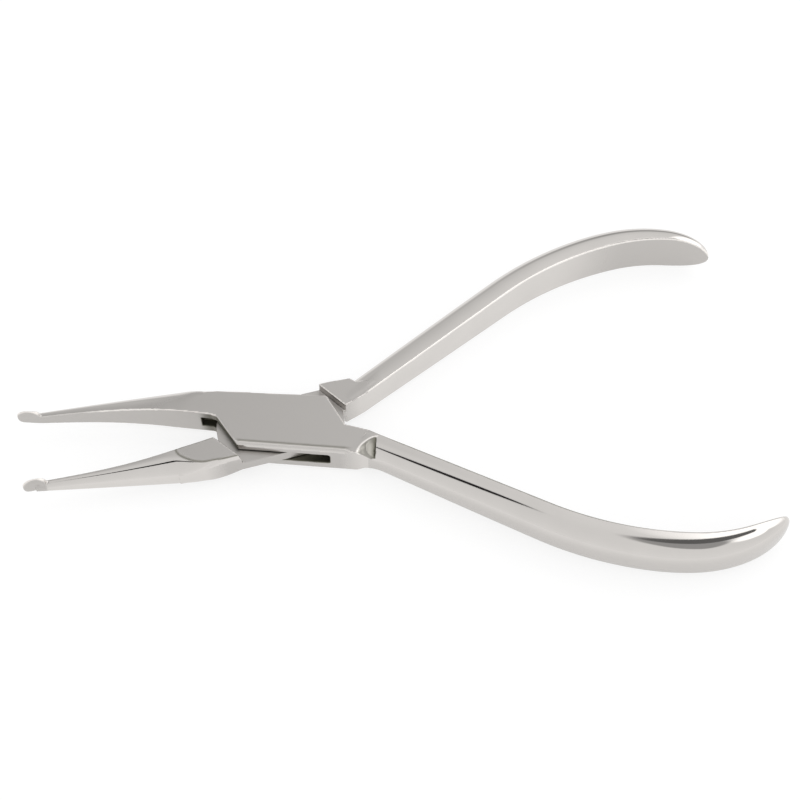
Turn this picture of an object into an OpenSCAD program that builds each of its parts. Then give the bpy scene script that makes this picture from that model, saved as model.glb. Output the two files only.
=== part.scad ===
// Slim-nosed pliers with a box joint: two forged steel arms on one flush rivet.
// One arm carries the box, a slot between two cheeks. The other arm passes through it as a tongue.
// Each arm is drawn closed, with the rivet axis at the origin and the handles towards +X,
// and is then swung open to the rest pose about the rivet.

/* [Jaws] */
// Distance from the rivet axis to the end of the box arm's jaw
box_jaw_length = 47.5; // [40:0.1:60]
// Distance from the rivet axis to the end of the tongue arm's jaw
tongue_jaw_length = 46.3; // [40:0.1:60]
// Length of the oval pad at the end of a jaw
pad_length = 4.3; // [3.6:0.1:6]
// Height of the oval pad, front to back
pad_height = 3.5; // [2.8:0.1:5]
// Thickness of the oval pad
pad_thickness = 0.7; // [0.5:0.1:1.2]
// Height of a jaw just behind its pad
neck_height = 2; // [1.6:0.1:2.6]
// Thickness of a jaw just behind its pad
neck_thickness = 1.5; // [1.2:0.1:2.2]
// Thickness of a jaw's taper, drawn on to the widest place of the jaw's root
root_thickness = 6.5; // [5.8:0.1:6.8]
// Height of a jaw's taper, drawn on to the widest place of the jaw's root
root_height = 6.15; // [5.8:0.05:7]
// Depth of the hollow in the inner face of a jaw
hollow_depth = 1.3; // [0.4:0.1:1.6]
// Distance from the rivet axis to the widest place of a jaw's root
belly_distance = 17; // [16:0.1:18]
// Radius of the belly in plan
belly_radius = 13; // [10:0.5:18]
// Gap between each pad face and the centre plane when closed
pad_gap = 0.04; // [0.02:0.01:0.2]

/* [Joint] */
// Thickness of the joint, front face to back face
joint_thickness = 5.8; // [5.4:0.1:6.6]
// Thickness of the tongue that passes through the box
tongue_thickness = 2.3; // [1.8:0.1:2.8]
// Clearance between the tongue and each cheek
tongue_clearance = 0.05; // [0.03:0.01:0.12]
// Distance from the rivet axis to the far edge of the cheeks at the handle end
far_edge = 5.2; // [4.9:0.1:5.6]
// Distance that the far edge of the cheeks rises towards the jaw
far_edge_rise = 0.35; // [0.1:0.05:0.6]
// Distance from the rivet axis to the near edge of the cheeks at the jaw end
near_edge_at_jaw = 5.35; // [5:0.05:5.7]
// Distance from the rivet axis to the near edge of the cheeks at the handle end
near_edge_at_handle = 6.75; // [6.5:0.05:7]
// Distance from the rivet axis to the throat between the jaws
throat_distance = 11.5; // [11.2:0.1:11.8]
// Distance that the throat lies on the far side of the rivet axis
throat_offset = 0.4; // [0.2:0.05:0.6]
// Distance that the round slot in the box is cut past the throat
slot_overcut = 0.1; // [0.05:0.05:0.3]
// Length of the slot's notch that runs on from the throat into the inner face of the box arm's jaw
notch_length = 2.8; // [1.5:0.1:3.4]
// Depth of that notch above the centre plane
notch_depth = 2; // [1.2:0.1:2.4]
// Distance from the rivet axis to the handle end of the slot's window in the near edge
window_end = 9.2; // [8.4:0.1:9.6]
// Clearance between the round ends of the tongue and of the slot
slot_end_clearance = 0.15; // [0.08:0.01:0.4]
// Distance that the tongue's far edge stands back from the far edge of the cheeks
tongue_setback = 0.1; // [0.05:0.05:0.4]
// Distance from the rivet axis to the near edge of the tongue
tongue_near_edge = 5.85; // [5.6:0.05:5.95]
// Gap between the cheeks and the handle-side shoulders when closed
handle_shoulder_gap = 0.4; // [0.3:0.05:0.7]
// Gap between the cheeks and the jaw-side shoulders when closed
jaw_shoulder_gap = 1.1; // [0.9:0.1:1.8]
// Distance from the rivet axis to the cheeks' near corner at the jaw end
cheek_jaw_end = 7.4; // [6.8:0.1:8]
// Distance from the rivet axis to the cheeks' far corner at the handle end
cheek_handle_end = 8; // [7.6:0.1:8.4]
// Distance from the rivet axis to the crotch between the handles
crotch_distance = 11.7; // [11.65:0.05:11.95]
// Distance that the crotch lies on the near side of the rivet axis
crotch_drop = 0.85; // [0.75:0.05:1.2]
// Radius of the round scoops that free the box arm's handle from the front and back faces
scoop_radius = 6.6; // [6.4:0.1:6.8]

/* [Rivet] */
// Diameter of the rivet's shank
rivet_diameter = 3.2; // [2.4:0.1:4]
// Diameter of the rivet's peened ends
rivet_head_diameter = 4.2; // [4.1:0.1:5]
// Depth of the countersinks that the rivet's ends fill
rivet_head_depth = 0.6; // [0.3:0.1:1]
// Radial clearance of the tongue on the rivet
rivet_clearance = 0.03; // [0.02:0.01:0.08]

/* [Handles] */
// Length of the straight stretch of a handle's inner face
handle_straight = 39; // [30:0.5:48]
// Radius of the long bend in a handle's inner face
bend_radius = 59; // [45:1:90]
// Radius of the bend at the end of a handle's inner face
tip_radius = 29.5; // [24:0.5:50]
// Angle that the bend at the end turns through
tip_turn = 35; // [24:1:42]
// Angle of a handle's straight stretch to the centre line when closed
handle_angle = 24.3; // [22:0.1:27]
// Height of a handle where it leaves the joint
handle_root_height = 5.6; // [5.2:0.1:6]
// Height of a handle at its widest place
handle_end_height = 8.2; // [7:0.1:10]
// Thickness of a handle where it leaves the joint
handle_root_thickness = 4.35; // [4:0.05:4.7]
// Thickness of a handle at its thickest place
handle_thickness = 5; // [4.4:0.1:6]
// Length over which the height rounds off at the end of a handle
end_round_height = 8.3; // [5:0.1:12]
// Length over which the thickness rounds off at the end of a handle
end_round_thickness = 24; // [14:0.5:26]

/* [Pose] */
// Opening angle between the arms at rest
rest_opening = 17.8; // [6:0.2:30]

/* [Hidden] */

$fn = 64;
section_steps = 16;
corner_steps = 6;
overshoot = 4;
joint_half = joint_thickness / 2;
tongue_half = tongue_thickness / 2;
slot_half = tongue_half + tongue_clearance;
rivet_radius = rivet_diameter / 2;
rivet_head_radius = rivet_head_diameter / 2;
pad_rise = (pad_height - neck_height) / 2;

// Small named lengths of the arms' roots
tip_flat = 0.02;
pad_slope_length = 1.6;
edge_inset = 0.12;
tongue_root_inset = 0.25;
hollow_start = 8;
corner_radius = 0.6;
throat_radius = 1;
throat_lap = 2.7;
throat_rise = 0.6;
far_edge_dip = 0.5;
scoop_distance = 18.4;
scoop_offset = 7.8;
scoop_lift = 5;
near_corner_setback = 0.4;
window_wall_gap = 0.08;
jaw_root = 6;
square_span = 9.25;
box_loft_start = 6.8;
tongue_loft_start = 3.6;
root_edge_first = 4.2;
root_edge_last = 8.2;
tongue_edge_last = 6;
root_edge_inset = 0.03;
handle_root_distance = 12;
box_handle_drop = 0.1;
tongue_handle_lap = 0.95;
shoulder_lap = 3;
shoulder_flat = 2.2;
shoulder_run = 3.1;
shoulder_rise = 0.15;
shoulder_dip = 1.15;
crotch_lap = 0.3;

// Squareness of the superellipse sections, 2 being round
squareness = 2.3;
root_squareness = 6;
pad_squareness = 2.2;
pad_heel_squareness = 4;
handle_squareness = 3;

// Places in plan, closed, on the box arm: its jaw lies on the +Y side and its handle on the -Y side
slot_radius = throat_distance + slot_overcut;
throat = [-throat_distance, throat_offset];
jaw_corner = [-cheek_jaw_end, -near_edge_at_jaw];
far_corner = [cheek_handle_end, far_edge];
crotch = [crotch_distance, -crotch_drop];
near_handle_corner = [scoop_distance - near_corner_setback, -near_edge_at_handle];

// Joins one list of points per section into a closed skin
module skin(sections) {
    count = len(sections[0]);
    last = len(sections) - 1;
    sides = [
        for (i = [0:last - 1], j = [0:count - 1])
            let (k = (j + 1) % count, a = i * count, b = a + count)
                each [[a + j, b + k, b + j], [a + j, a + k, b + k]]
    ];
    caps = [[for (j = [count - 1:-1:0]) j], [for (j = [0:count - 1]) last * count + j]];
    polyhedron(points = [for (s = sections) each s], faces = concat(caps, sides), convexity = 6);
}

// Half of a superellipse: flat on its inner face, round outside, as [distance from the inner face, height]
function d_section(thickness, height, power) = [
    for (i = [0:section_steps])
        let (a = -90 + 180 * i / section_steps, e = 2 / power)
            [thickness * pow(max(cos(a), 0), e), sign(sin(a)) * height / 2 * pow(abs(sin(a)), e)]
];

// Corner of an outline rounded by an arc that touches both of its edges
function rounded(before, corner, after, radius) =
    let (
        u = (before - corner) / norm(before - corner),
        v = (after - corner) / norm(after - corner),
        half = acos(u * v) / 2,
        middle = (u + v) / norm(u + v),
        centre = corner + middle * radius / sin(half),
        first = corner + u * radius / tan(half) - centre,
        last = corner + v * radius / tan(half) - centre
    )
    [
        for (i = [0:corner_steps])
            let (w = i / corner_steps, mixed = first * (1 - w) + last * w)
                centre + radius * mixed / norm(mixed)
    ];

// Jaw of a given length, as functions of the distance from the rivet axis
function neck_distance(length) = length - pad_length;
function pad_centre(length) = length - pad_length / 2;
function taper_length(length) = neck_distance(length) - belly_distance;
function taper(length) = (root_thickness - neck_thickness) / taper_length(length);
function belly_start(length) = belly_distance + belly_radius * taper(length);
function taper_thickness(d, length) = neck_thickness + taper(length) * (neck_distance(length) - d);
function belly(d, length) =
    taper_thickness(belly_start(length), length)
        + (pow(belly_start(length) - belly_distance, 2) - pow(d - belly_distance, 2)) / (2 * belly_radius);
function pad_face(d, length) =
    let (share = min((d - neck_distance(length)) / pad_slope_length, 1))
        neck_thickness + (pad_thickness - neck_thickness) * share;
function outer_face(d, length, least) =
    d > neck_distance(length) ? pad_face(d, length)
        : d > belly_start(length) ? taper_thickness(d, length)
            : max(belly(d, length), least);
function hollow_share(d, length) =
    max(d - hollow_start, 0) / (neck_distance(length) - hollow_start);
function inner_face(d, length) =
    pad_gap + (d > neck_distance(length) ? 0
        : hollow_depth * sin(180 * hollow_share(d, length)));
function pad_reach(d, length, power) =
    let (share = abs(2 * (d - pad_centre(length)) / pad_length))
        pad_height / 2 * pow(max(1 - pow(share, power), 0), 1 / power);
function tapered_height(d, length) =
    neck_height + (root_height - neck_height) * (neck_distance(length) - d) / taper_length(length);

// The pad is flush with the back edge of its jaw and stands up past the front edge
function jaw_front(d, length) =
    let (pad = pad_rise + pad_reach(d, length, pad_squareness))
        d > pad_centre(length) ? pad : max(tapered_height(d, length) / 2, pad);
function jaw_back(d, length) =
    let (pad = pad_rise - pad_reach(d, length, pad_heel_squareness))
        d > pad_centre(length) ? pad : min(-tapered_height(d, length) / 2, pad);
function jaw_squareness(d, length) =
    squareness + (root_squareness - squareness) * min(max((belly_start(length) - d) / square_span, 0), 1);
function jaw_stations(length) =
    let (start = belly_start(length), neck = neck_distance(length))
        concat(
            [for (i = [0:11]) jaw_root + (start - jaw_root) * i / 11],
            [for (i = [1:9]) start + (neck - start) * i / 9],
            [for (a = [12:12:168]) pad_centre(length) - pad_length / 2 * cos(a)],
            [length - tip_flat]
        );

// The root of the jaw is nowhere thinner than the least width, which keeps it inside the joint's edge
module jaw_blank(length, least) {
    skin([
        for (d = jaw_stations(length))
            let (
                inner = inner_face(d, length),
                thickness = outer_face(d, length, least) - inner,
                front = jaw_front(d, length),
                back = jaw_back(d, length)
            )
            [for (p = d_section(thickness, front - back, jaw_squareness(d, length)))
                [-d, inner + p[0], (front + back) / 2 + p[1]]]
    ]);
}

// Handle path: a straight stretch, a long bend to the centre line's direction and a short bend inwards
bend_length = bend_radius * handle_angle * PI / 180;
handle_length = handle_straight + bend_length + tip_radius * tip_turn * PI / 180;
function ahead(angle) = [cos(angle), sin(angle)];
function outward(angle) = [sin(angle), -cos(angle)];
function arc_step(radius, from, to) = radius * (outward(to) - outward(from));
function direction(s) =
    s < handle_straight ? -handle_angle
        : s < handle_straight + bend_length
            ? -handle_angle + (s - handle_straight) / bend_radius * 180 / PI
            : (s - handle_straight - bend_length) / tip_radius * 180 / PI;
function handle_point(s, root_y) =
    let (
        start = [handle_root_distance, root_y],
        straight_end = start + handle_straight * ahead(-handle_angle),
        bend_end = straight_end + arc_step(bend_radius, -handle_angle, 0)
    )
    s < handle_straight ? start + s * ahead(-handle_angle)
        : s < handle_straight + bend_length
            ? straight_end + arc_step(bend_radius, -handle_angle, direction(s))
            : bend_end + arc_step(tip_radius, 0, direction(s));
function swell(s, root, full, span) =
    (root + (full - root) * sin(90 * min(s / (handle_length - span), 1)))
        * sqrt(max(1 - pow(max(s - handle_length + span, 0) / span, 2), 0));
function handle_section(s) =
    d_section(
        swell(s, handle_root_thickness, handle_thickness, end_round_thickness),
        swell(s, handle_root_height, handle_end_height, end_round_height),
        handle_squareness
    );
function handle_stations(first) = concat(
    [for (i = [0:7]) first + (handle_straight - first) * i / 7],
    [for (i = [1:6]) handle_straight + (handle_length - end_round_thickness - handle_straight) * i / 6],
    [for (a = [6:5:86]) handle_length - end_round_thickness * (1 - sin(a))]
);

module handle_blank(root_y, first) {
    skin([
        for (s = handle_stations(first))
            let (p = handle_point(s, root_y), side = outward(direction(s)))
                [for (q = handle_section(s)) [p[0] + side[0] * q[0], p[1] + side[1] * q[0], q[1]]]
    ]);
}

// Slab of an outline, as tall as the blanks before their faces are ground to the joint's thickness
module tall(outline) {
    translate([0, 0, -joint_half - overshoot / 2])
        linear_extrude(joint_thickness + overshoot) polygon(outline);
}

// Cuts the front and back faces of a joint and of its jaw's root flat, as grinding does
module ground() {
    reach = 2 * max(box_jaw_length, tongue_jaw_length);
    intersection() {
        children();
        cube([reach, reach, joint_thickness], center = true);
    }
}

// Scoops ground into the front and back faces, where the crown of the handle leaves the joint
module handle_scoops() {
    for (side = [0, 1])
        mirror([0, 0, side])
            translate([scoop_distance, -scoop_offset, joint_half + scoop_lift])
                sphere(r = scoop_radius);
}

// Places on the inner edge of a handle's root, kept just inside the handle's own inner face
function root_edge(s, root_y) = handle_point(s, root_y) - [0, root_edge_inset];

module rivet_hole(radius) {
    translate([0, 0, -joint_half - overshoot])
        cylinder(h = joint_thickness + 2 * overshoot, r = radius);
}

module rivet_countersinks() {
    for (side = [0, 1])
        mirror([0, 0, side])
            translate([0, 0, joint_half - rivet_head_depth])
                cylinder(h = rivet_head_depth, r1 = rivet_radius, r2 = rivet_head_radius);
}

// Slot between the cheeks: round, with a notch past the throat and a square end to its window
module slot() {
    reach = 2 * slot_radius;
    wall = tongue_near_edge + window_wall_gap;
    translate([0, 0, -slot_half])
        linear_extrude(2 * slot_half) {
            difference() {
                circle(r = slot_radius);
                translate([window_end, -reach]) square([reach, reach - wall]);
            }
            intersection() {
                circle(r = throat_distance + notch_length);
                translate([-reach, -notch_depth]) square([reach, 2 * notch_depth]);
            }
        }
}

// Box arm: upper jaw, the two cheeks with the slot between them, and the lower handle
module box_arm_closed() {
    edge_first = root_edge(root_edge_first, -box_handle_drop);
    edge_last = root_edge(root_edge_last, -box_handle_drop);
    behind_throat = throat + [-throat_lap, throat_rise];
    jaw_far_edge = far_edge + far_edge_rise;
    outline = concat(
        [[behind_throat[0], jaw_far_edge - far_edge_dip], [throat[0] - far_edge_dip, jaw_far_edge]],
        rounded([throat[0], jaw_far_edge], far_corner, crotch, corner_radius),
        [crotch, edge_first, edge_last, [edge_last[0], -near_edge_at_handle], near_handle_corner],
        rounded(near_handle_corner, jaw_corner, throat, corner_radius),
        rounded(jaw_corner, throat, behind_throat, throat_radius)
    );
    difference() {
        union() {
            ground() {
                jaw_blank(box_jaw_length, jaw_far_edge - edge_inset);
                difference() {
                    tall(outline);
                    handle_scoops();
                }
            }
            handle_blank(-box_handle_drop, box_loft_start);
        }
        slot();
        rivet_hole(rivet_radius);
        rivet_countersinks();
    }
}

// Line through two points moved sideways, to the left of the direction from the first to the second
function shifted(from, to, distance) =
    let (d = (to - from) / norm(to - from), side = [-d[1], d[0]] * distance)
        [from + side, to + side, d];

// Tongue arm: lower jaw, the tongue with its shoulders, and the upper handle
module tongue_arm_closed() {
    jaw_side = shifted(jaw_corner, throat, jaw_shoulder_gap);
    handle_side = shifted(far_corner, crotch, handle_shoulder_gap);
    reach = slot_radius;
    pocket = [
        jaw_side[1] + jaw_side[2] * reach,
        jaw_side[0] - jaw_side[2] * reach,
        handle_side[1] + handle_side[2] * reach,
        handle_side[0] - handle_side[2] * reach
    ];
    edge_first = root_edge(root_edge_first, tongue_handle_lap);
    edge_last = root_edge(tongue_edge_last, tongue_handle_lap);
    root_outline = [
        [cheek_handle_end - shoulder_lap, -far_edge - shoulder_rise],
        [cheek_handle_end + shoulder_flat, -far_edge - shoulder_rise],
        [handle_root_distance + shoulder_flat, -far_edge + shoulder_rise],
        [handle_root_distance + shoulder_run, -far_edge + shoulder_dip],
        edge_last,
        edge_first,
        [crotch_distance + crotch_lap, crotch_drop - handle_shoulder_gap],
        [cheek_handle_end - shoulder_lap, crotch_drop - handle_shoulder_gap]
    ];
    tongue_reach = 2 * slot_radius;
    difference() {
        union() {
            mirror([0, 1, 0]) {
                ground() {
                    jaw_blank(tongue_jaw_length, tongue_near_edge - tongue_root_inset);
                    tall(root_outline);
                }
                handle_blank(tongue_handle_lap, tongue_loft_start);
            }
            intersection() {
                translate([0, 0, -tongue_half])
                    cylinder(h = tongue_thickness, r = slot_radius - slot_end_clearance);
                tall([
                    [-tongue_reach, -tongue_near_edge],
                    [tongue_reach, -tongue_near_edge],
                    [tongue_reach, far_edge - tongue_setback],
                    [-tongue_reach, far_edge - tongue_setback]
                ]);
            }
        }
        for (side = [0, 1])
            mirror([0, 0, side])
                translate([0, 0, tongue_half])
                    linear_extrude(joint_thickness) polygon(pocket);
        rivet_hole(rivet_radius + rivet_clearance);
    }
}

module at_rest(swing) {
    translate([0, 0, joint_half]) rotate([0, 0, swing]) children();
}

module box_arm() {
    color("silver") at_rest(-rest_opening / 2) box_arm_closed();
}

module tongue_arm() {
    color("silver") at_rest(rest_opening / 2) tongue_arm_closed();
}

module pivot_rivet() {
    color("gainsboro") at_rest(0) {
        translate([0, 0, -joint_half + rivet_head_depth])
            cylinder(h = joint_thickness - 2 * rivet_head_depth, r = rivet_radius);
        rivet_countersinks();
    }
}

box_arm();
tongue_arm();
pivot_rivet();
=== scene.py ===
"""Looks of the slim-nosed box-joint pliers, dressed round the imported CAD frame.

Each arm is drawn closed in millimetres, as a distance field with softly broken edges,
meshed finely, then swung to the rest pose about the rivet. In that closed frame x runs
to the handles, y to the box arm's jaw, and z to the front from the middle of the joint.
"""
import math

import bpy
import numpy as np
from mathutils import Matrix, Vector


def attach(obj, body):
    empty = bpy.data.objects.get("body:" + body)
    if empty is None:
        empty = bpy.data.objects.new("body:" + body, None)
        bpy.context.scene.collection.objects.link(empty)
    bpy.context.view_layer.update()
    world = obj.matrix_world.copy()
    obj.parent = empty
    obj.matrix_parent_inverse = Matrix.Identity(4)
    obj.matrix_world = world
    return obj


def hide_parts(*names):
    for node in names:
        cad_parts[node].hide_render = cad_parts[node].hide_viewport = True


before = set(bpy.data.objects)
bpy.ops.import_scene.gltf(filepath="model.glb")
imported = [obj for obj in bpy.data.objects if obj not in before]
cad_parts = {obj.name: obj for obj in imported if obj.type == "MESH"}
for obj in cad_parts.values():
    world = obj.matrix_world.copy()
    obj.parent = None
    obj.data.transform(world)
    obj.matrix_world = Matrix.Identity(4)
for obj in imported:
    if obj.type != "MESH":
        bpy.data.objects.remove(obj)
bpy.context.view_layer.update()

MM = 0.001

# Jaws, with distances measured from the rivet
BOX_JAW_LENGTH = 47.5
TONGUE_JAW_LENGTH = 46.3
PAD_LENGTH = 4.3
PAD_HEIGHT = 3.5
PAD_THICKNESS = 0.7
PAD_SLOPE_LENGTH = 1.6
PAD_SQUARENESS = 2.2
PAD_HEEL_SQUARENESS = 4.0
PAD_DOME_SCALE = 1.1
PAD_GAP = 0.04
NECK_HEIGHT = 2.0
NECK_THICKNESS = 1.5
PAD_RISE = (PAD_HEIGHT - NECK_HEIGHT) / 2
ROOT_THICKNESS = 6.5
HOLLOW_DEPTH = 1.3
HOLLOW_START = 8.0
JAW_ROOT = 6.0
JAW_HEIGHT = 6.15
LEAST_JAW_HEIGHT = 0.6
LEAST_JAW_THICKNESS = 0.3
BELLY_DISTANCE = 17.0
BELLY_RADIUS = 13.0
SQUARENESS = 2.7
ROOT_SQUARENESS = 6.0
SQUARE_SPAN = 9.25

# Handles, as a straight, a bend and a tip arc
HANDLE_STRAIGHT = 39.0
BEND_RADIUS = 59.0
TIP_RADIUS = 29.5
TIP_TURN = math.radians(35)
HANDLE_ANGLE = math.radians(24.3)
BEND_LENGTH = BEND_RADIUS * HANDLE_ANGLE
HANDLE_LENGTH = HANDLE_STRAIGHT + BEND_LENGTH + TIP_RADIUS * TIP_TURN
HANDLE_ROOT_HEIGHT = 5.6
HANDLE_END_HEIGHT = 8.2
HANDLE_ROOT_THICKNESS = 4.35
HANDLE_THICKNESS = 5.0
HANDLE_SQUARENESS = 3.0
END_ROUND_HEIGHT = 8.3
END_ROUND_THICKNESS = 24.0
LEAST_END_SHARE = 0.0006
HANDLE_ROOT_DISTANCE = 12.0
BOX_ROOT_Y = -0.1
TONGUE_ROOT_Y = 0.95
BOX_LOFT_START = 4.2
TONGUE_LOFT_START = 1.6
REST_SWING = math.radians(8.9)

# Joint
JOINT_HALF = 2.9
TONGUE_HALF = 1.02
SLOT_HALF = 1.26
FAR_EDGE = 5.2
FAR_EDGE_RISE = 0.35
NEAR_EDGE_AT_JAW = 5.65
NEAR_EDGE_AT_HANDLE = 7.05
THROAT_DISTANCE = 11.5
SLOT_RADIUS = 11.6
SLOT_END_CLEARANCE = 0.15
NOTCH_RADIUS = 14.3
NOTCH_DEPTH = 2.0
TONGUE_SETBACK = 0.1
TONGUE_NEAR_EDGE = 6.2
WINDOW_END = 9.2
WINDOW_CORNER = 0.5
WINDOW_WALL = TONGUE_NEAR_EDGE + 0.08
HANDLE_SHOULDER_GAP = 0.4
JAW_SHOULDER_GAP = 1.1
SLOPE_LENGTH = 5.5
SLOPE_DEPTH = 1.5
SLOPE_HEIGHT = 1.8
SCOOP_RADIUS = 6.6
SCOOP_CENTRE = np.array([18.4, -7.8, JOINT_HALF + 5.0])
POCKET_END = 17.3
EDGE_INSET = 0.12
TONGUE_ROOT_INSET = 0.03
ROOT_LEAN = 0.45

# Corners of the joint in plan
CORNER_RADIUS = 0.6
THROAT_RADIUS = 1.0
OUTLINE_TRIM = 0.5
THROAT = np.array([-THROAT_DISTANCE, 0.4])
BEHIND_THROAT = THROAT + np.array([-2.7, 0.6])
JAW_CORNER = np.array([-7.2, -NEAR_EDGE_AT_JAW])
FAR_CORNER = np.array([8.0, FAR_EDGE])
CROTCH = np.array([11.7, -0.85])
NEAR_HANDLE_CORNER = np.array([18.0, -NEAR_EDGE_AT_HANDLE])

# Corners of the tongue handle's root in plan, on the mirrored side
ROOT_START = 5.0
ROOT_LOW = -FAR_EDGE - 0.15
ROOT_FLAT_END = 10.2
ROOT_CORNER = np.array([HANDLE_ROOT_DISTANCE + 2.2, -FAR_EDGE + 0.15])
ROOT_HEEL = np.array([HANDLE_ROOT_DISTANCE + 3.1, -FAR_EDGE + 1.15])
ROOT_END_ALONG = 9.0
SHOULDER_CORNER = np.array([CROTCH[0] + 0.3, -CROTCH[1] - HANDLE_SHOULDER_GAP])

# Where the joint's edge runs along a handle's inner face, and how far behind that face
EDGE_START_ALONG = 4.2
BOX_EDGE_END_ALONG = 8.2
ROOT_EDGE_INSET = 0.005

# Rivet
RIVET_RADIUS = 1.6
RIVET_HEAD_RADIUS = 2.1
RIVET_HEAD_DEPTH = 0.6
RIVET_CLEARANCE = 0.03
RIVET_PROUD = 0.003
RIVET_SPREAD = 0.2
RIVET_CENTRE_RADIUS = 0.4
RIVET_END_DEPTH = 0.05

# Broken edges and fillets, as radii
HANDLE_EDGE = 0.34
HANDLE_EDGE_SHARE = 0.3
JAW_EDGE = 0.24
PAD_EDGE = 0.28
FACE_EDGE = 0.2
NEAR_FACE_EDGE = 1.1
SLOT_EDGE = 0.1
SCOOP_EDGE = 0.28
SLOPE_EDGE = 0.6
TONGUE_EDGE = 0.05
JAW_FILLET = 0.5
HANDLE_FILLET = 0.2
SIDE_FILLET = 0.8
PAD_FILLET = 0.15

# Where the radii change, as the places where a change starts and ends
NEAR_SIDE_DEPTH = (3.2, 4.6)
NEAR_SIDE_START = (-8.2, -6.7)
NEAR_SIDE_END = (13.5, 11.5)
FILLET_DEPTH = (0.3, 1.3)
SIDE_FILLET_DEPTH = (4.0, 6.0)

# Stretches of x where each form is worked out, and the distance that stands for far away
JAWS_END = -4.0
HANDLES_START = 10.0
JOINT_START = -20.0
JOINT_END = 26.0
FAR = 9.0


def ramp(value, start, end):
    """0 at start, 1 at end, and level beyond both."""
    return np.clip((value - start) / (end - start), 0, 1)


def smooth_ramp(value, start, end):
    """A ramp with a level start and end."""
    share = ramp(value, start, end)
    return share * share * (3 - 2 * share)


def between(first, last, share):
    return first + (last - first) * share


def most(*fields):
    return np.maximum.reduce(fields)


def rounded_max(a, b, radius):
    """Intersection of two distance fields, its edge rounded."""
    u = np.maximum(a + radius, 0)
    v = np.maximum(b + radius, 0)
    return np.minimum(np.maximum(a, b), -radius) + np.hypot(u, v)


def rounded_min(a, b, radius):
    """Union of two distance fields, its inner corner filled."""
    return -rounded_max(-a, -b, radius)


def part(mask, shape, *arguments):
    """Field of a shape worked out only where it matters, and far away elsewhere."""
    field = np.full(mask.shape, FAR)
    if mask.any():
        field[mask] = shape(*[a[mask] for a in arguments])
    return field


def unit(vector):
    return vector / np.linalg.norm(vector)


def rounded_corner(before, corner, after, radius, steps=8):
    """Arc that rounds a corner of an outline and touches both of its edges."""
    u = unit(before - corner)
    v = unit(after - corner)
    half = math.acos(float(u @ v)) / 2
    centre = corner + unit(u + v) * radius / math.sin(half)
    first = corner + u * radius / math.tan(half) - centre
    last = corner + v * radius / math.tan(half) - centre
    return [centre + radius * unit(between(first, last, i / steps)) for i in range(steps + 1)]


def outline_distance(x, y, points):
    """Signed distance to a closed outline in plan."""
    points = [np.asarray(p, float) for p in points]
    nearest = np.full(x.shape, np.inf)
    inside = np.zeros(x.shape, bool)
    for a, b in zip(points, points[1:] + points[:1]):
        edge = b - a
        wx = x - a[0]
        wy = y - a[1]
        t = np.clip((wx * edge[0] + wy * edge[1]) / (edge @ edge), 0, 1)
        nearest = np.minimum(nearest, (wx - edge[0] * t) ** 2 + (wy - edge[1] * t) ** 2)
        if edge[1] != 0:
            crosses = (a[1] > y) != (b[1] > y)
            inside ^= crosses & (wx < edge[0] * wy / edge[1])
    return np.where(inside, -1, 1) * np.sqrt(nearest)


def beyond(x, y, start, end, shift):
    """Distance past a line that is shifted to the left of its direction."""
    along = unit(end - start)
    return (x - start[0]) * -along[1] + (y - start[1]) * along[0] - shift


def d_distance(offset, z, thickness, height, power, least=0.05):
    """Distance to a half superellipse: flat at offset 0, round on its outer side."""
    u = np.maximum(offset, 0) / thickness
    v = np.abs(z) / (height / 2)
    rho = np.maximum((u ** power + v ** power) ** (1 / power), least)
    steep = rho ** (1 - power) * np.hypot(u ** (power - 1) / thickness, v ** (power - 1) / (height / 2))
    return (rho - 1) / np.maximum(steep, least)


# Jaws, drawn on the side where y is above 0


def jaw_inner(d, length):
    """Height of a jaw's hollow inner face above the line where the jaws meet."""
    share = ramp(d, HOLLOW_START, length - PAD_LENGTH)
    return PAD_GAP + HOLLOW_DEPTH * np.sin(np.pi * share)


def jaw_taper(length):
    return (ROOT_THICKNESS - NECK_THICKNESS) / (length - PAD_LENGTH - BELLY_DISTANCE)


def belly_start(length):
    """Distance where the straight taper of a jaw's outer side runs into its round belly."""
    return BELLY_DISTANCE + BELLY_RADIUS * jaw_taper(length)


def jaw_outer(d, length, least):
    """Height of a jaw's outer side, behind the belly at least as high as the joint needs."""
    neck = length - PAD_LENGTH
    start = belly_start(length)
    straight = NECK_THICKNESS + jaw_taper(length) * (neck - d)
    at_start = NECK_THICKNESS + jaw_taper(length) * (neck - start)
    bulge = ((start - BELLY_DISTANCE) ** 2 - (d - BELLY_DISTANCE) ** 2) / (2 * BELLY_RADIUS)
    return np.where(d > start, straight, np.maximum(at_start + bulge, least))


def blade_distance(d, y, z, length, least):
    """Tapered blade of a jaw, squarer towards the joint."""
    neck = length - PAD_LENGTH
    inner = jaw_inner(d, length)
    start = belly_start(length)
    thickness = np.maximum(jaw_outer(d, length, least) - inner, LEAST_JAW_THICKNESS)
    share = (neck - d) / (neck - BELLY_DISTANCE)
    height = np.maximum(between(NECK_HEIGHT, JAW_HEIGHT, share), LEAST_JAW_HEIGHT)
    power = between(SQUARENESS, ROOT_SQUARENESS, smooth_ramp(d, start, start - SQUARE_SPAN))
    blade = d_distance(y - inner, z, thickness, height, power)
    return most(blade, d - (neck + PAD_LENGTH / 2), JAW_ROOT - d)


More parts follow.
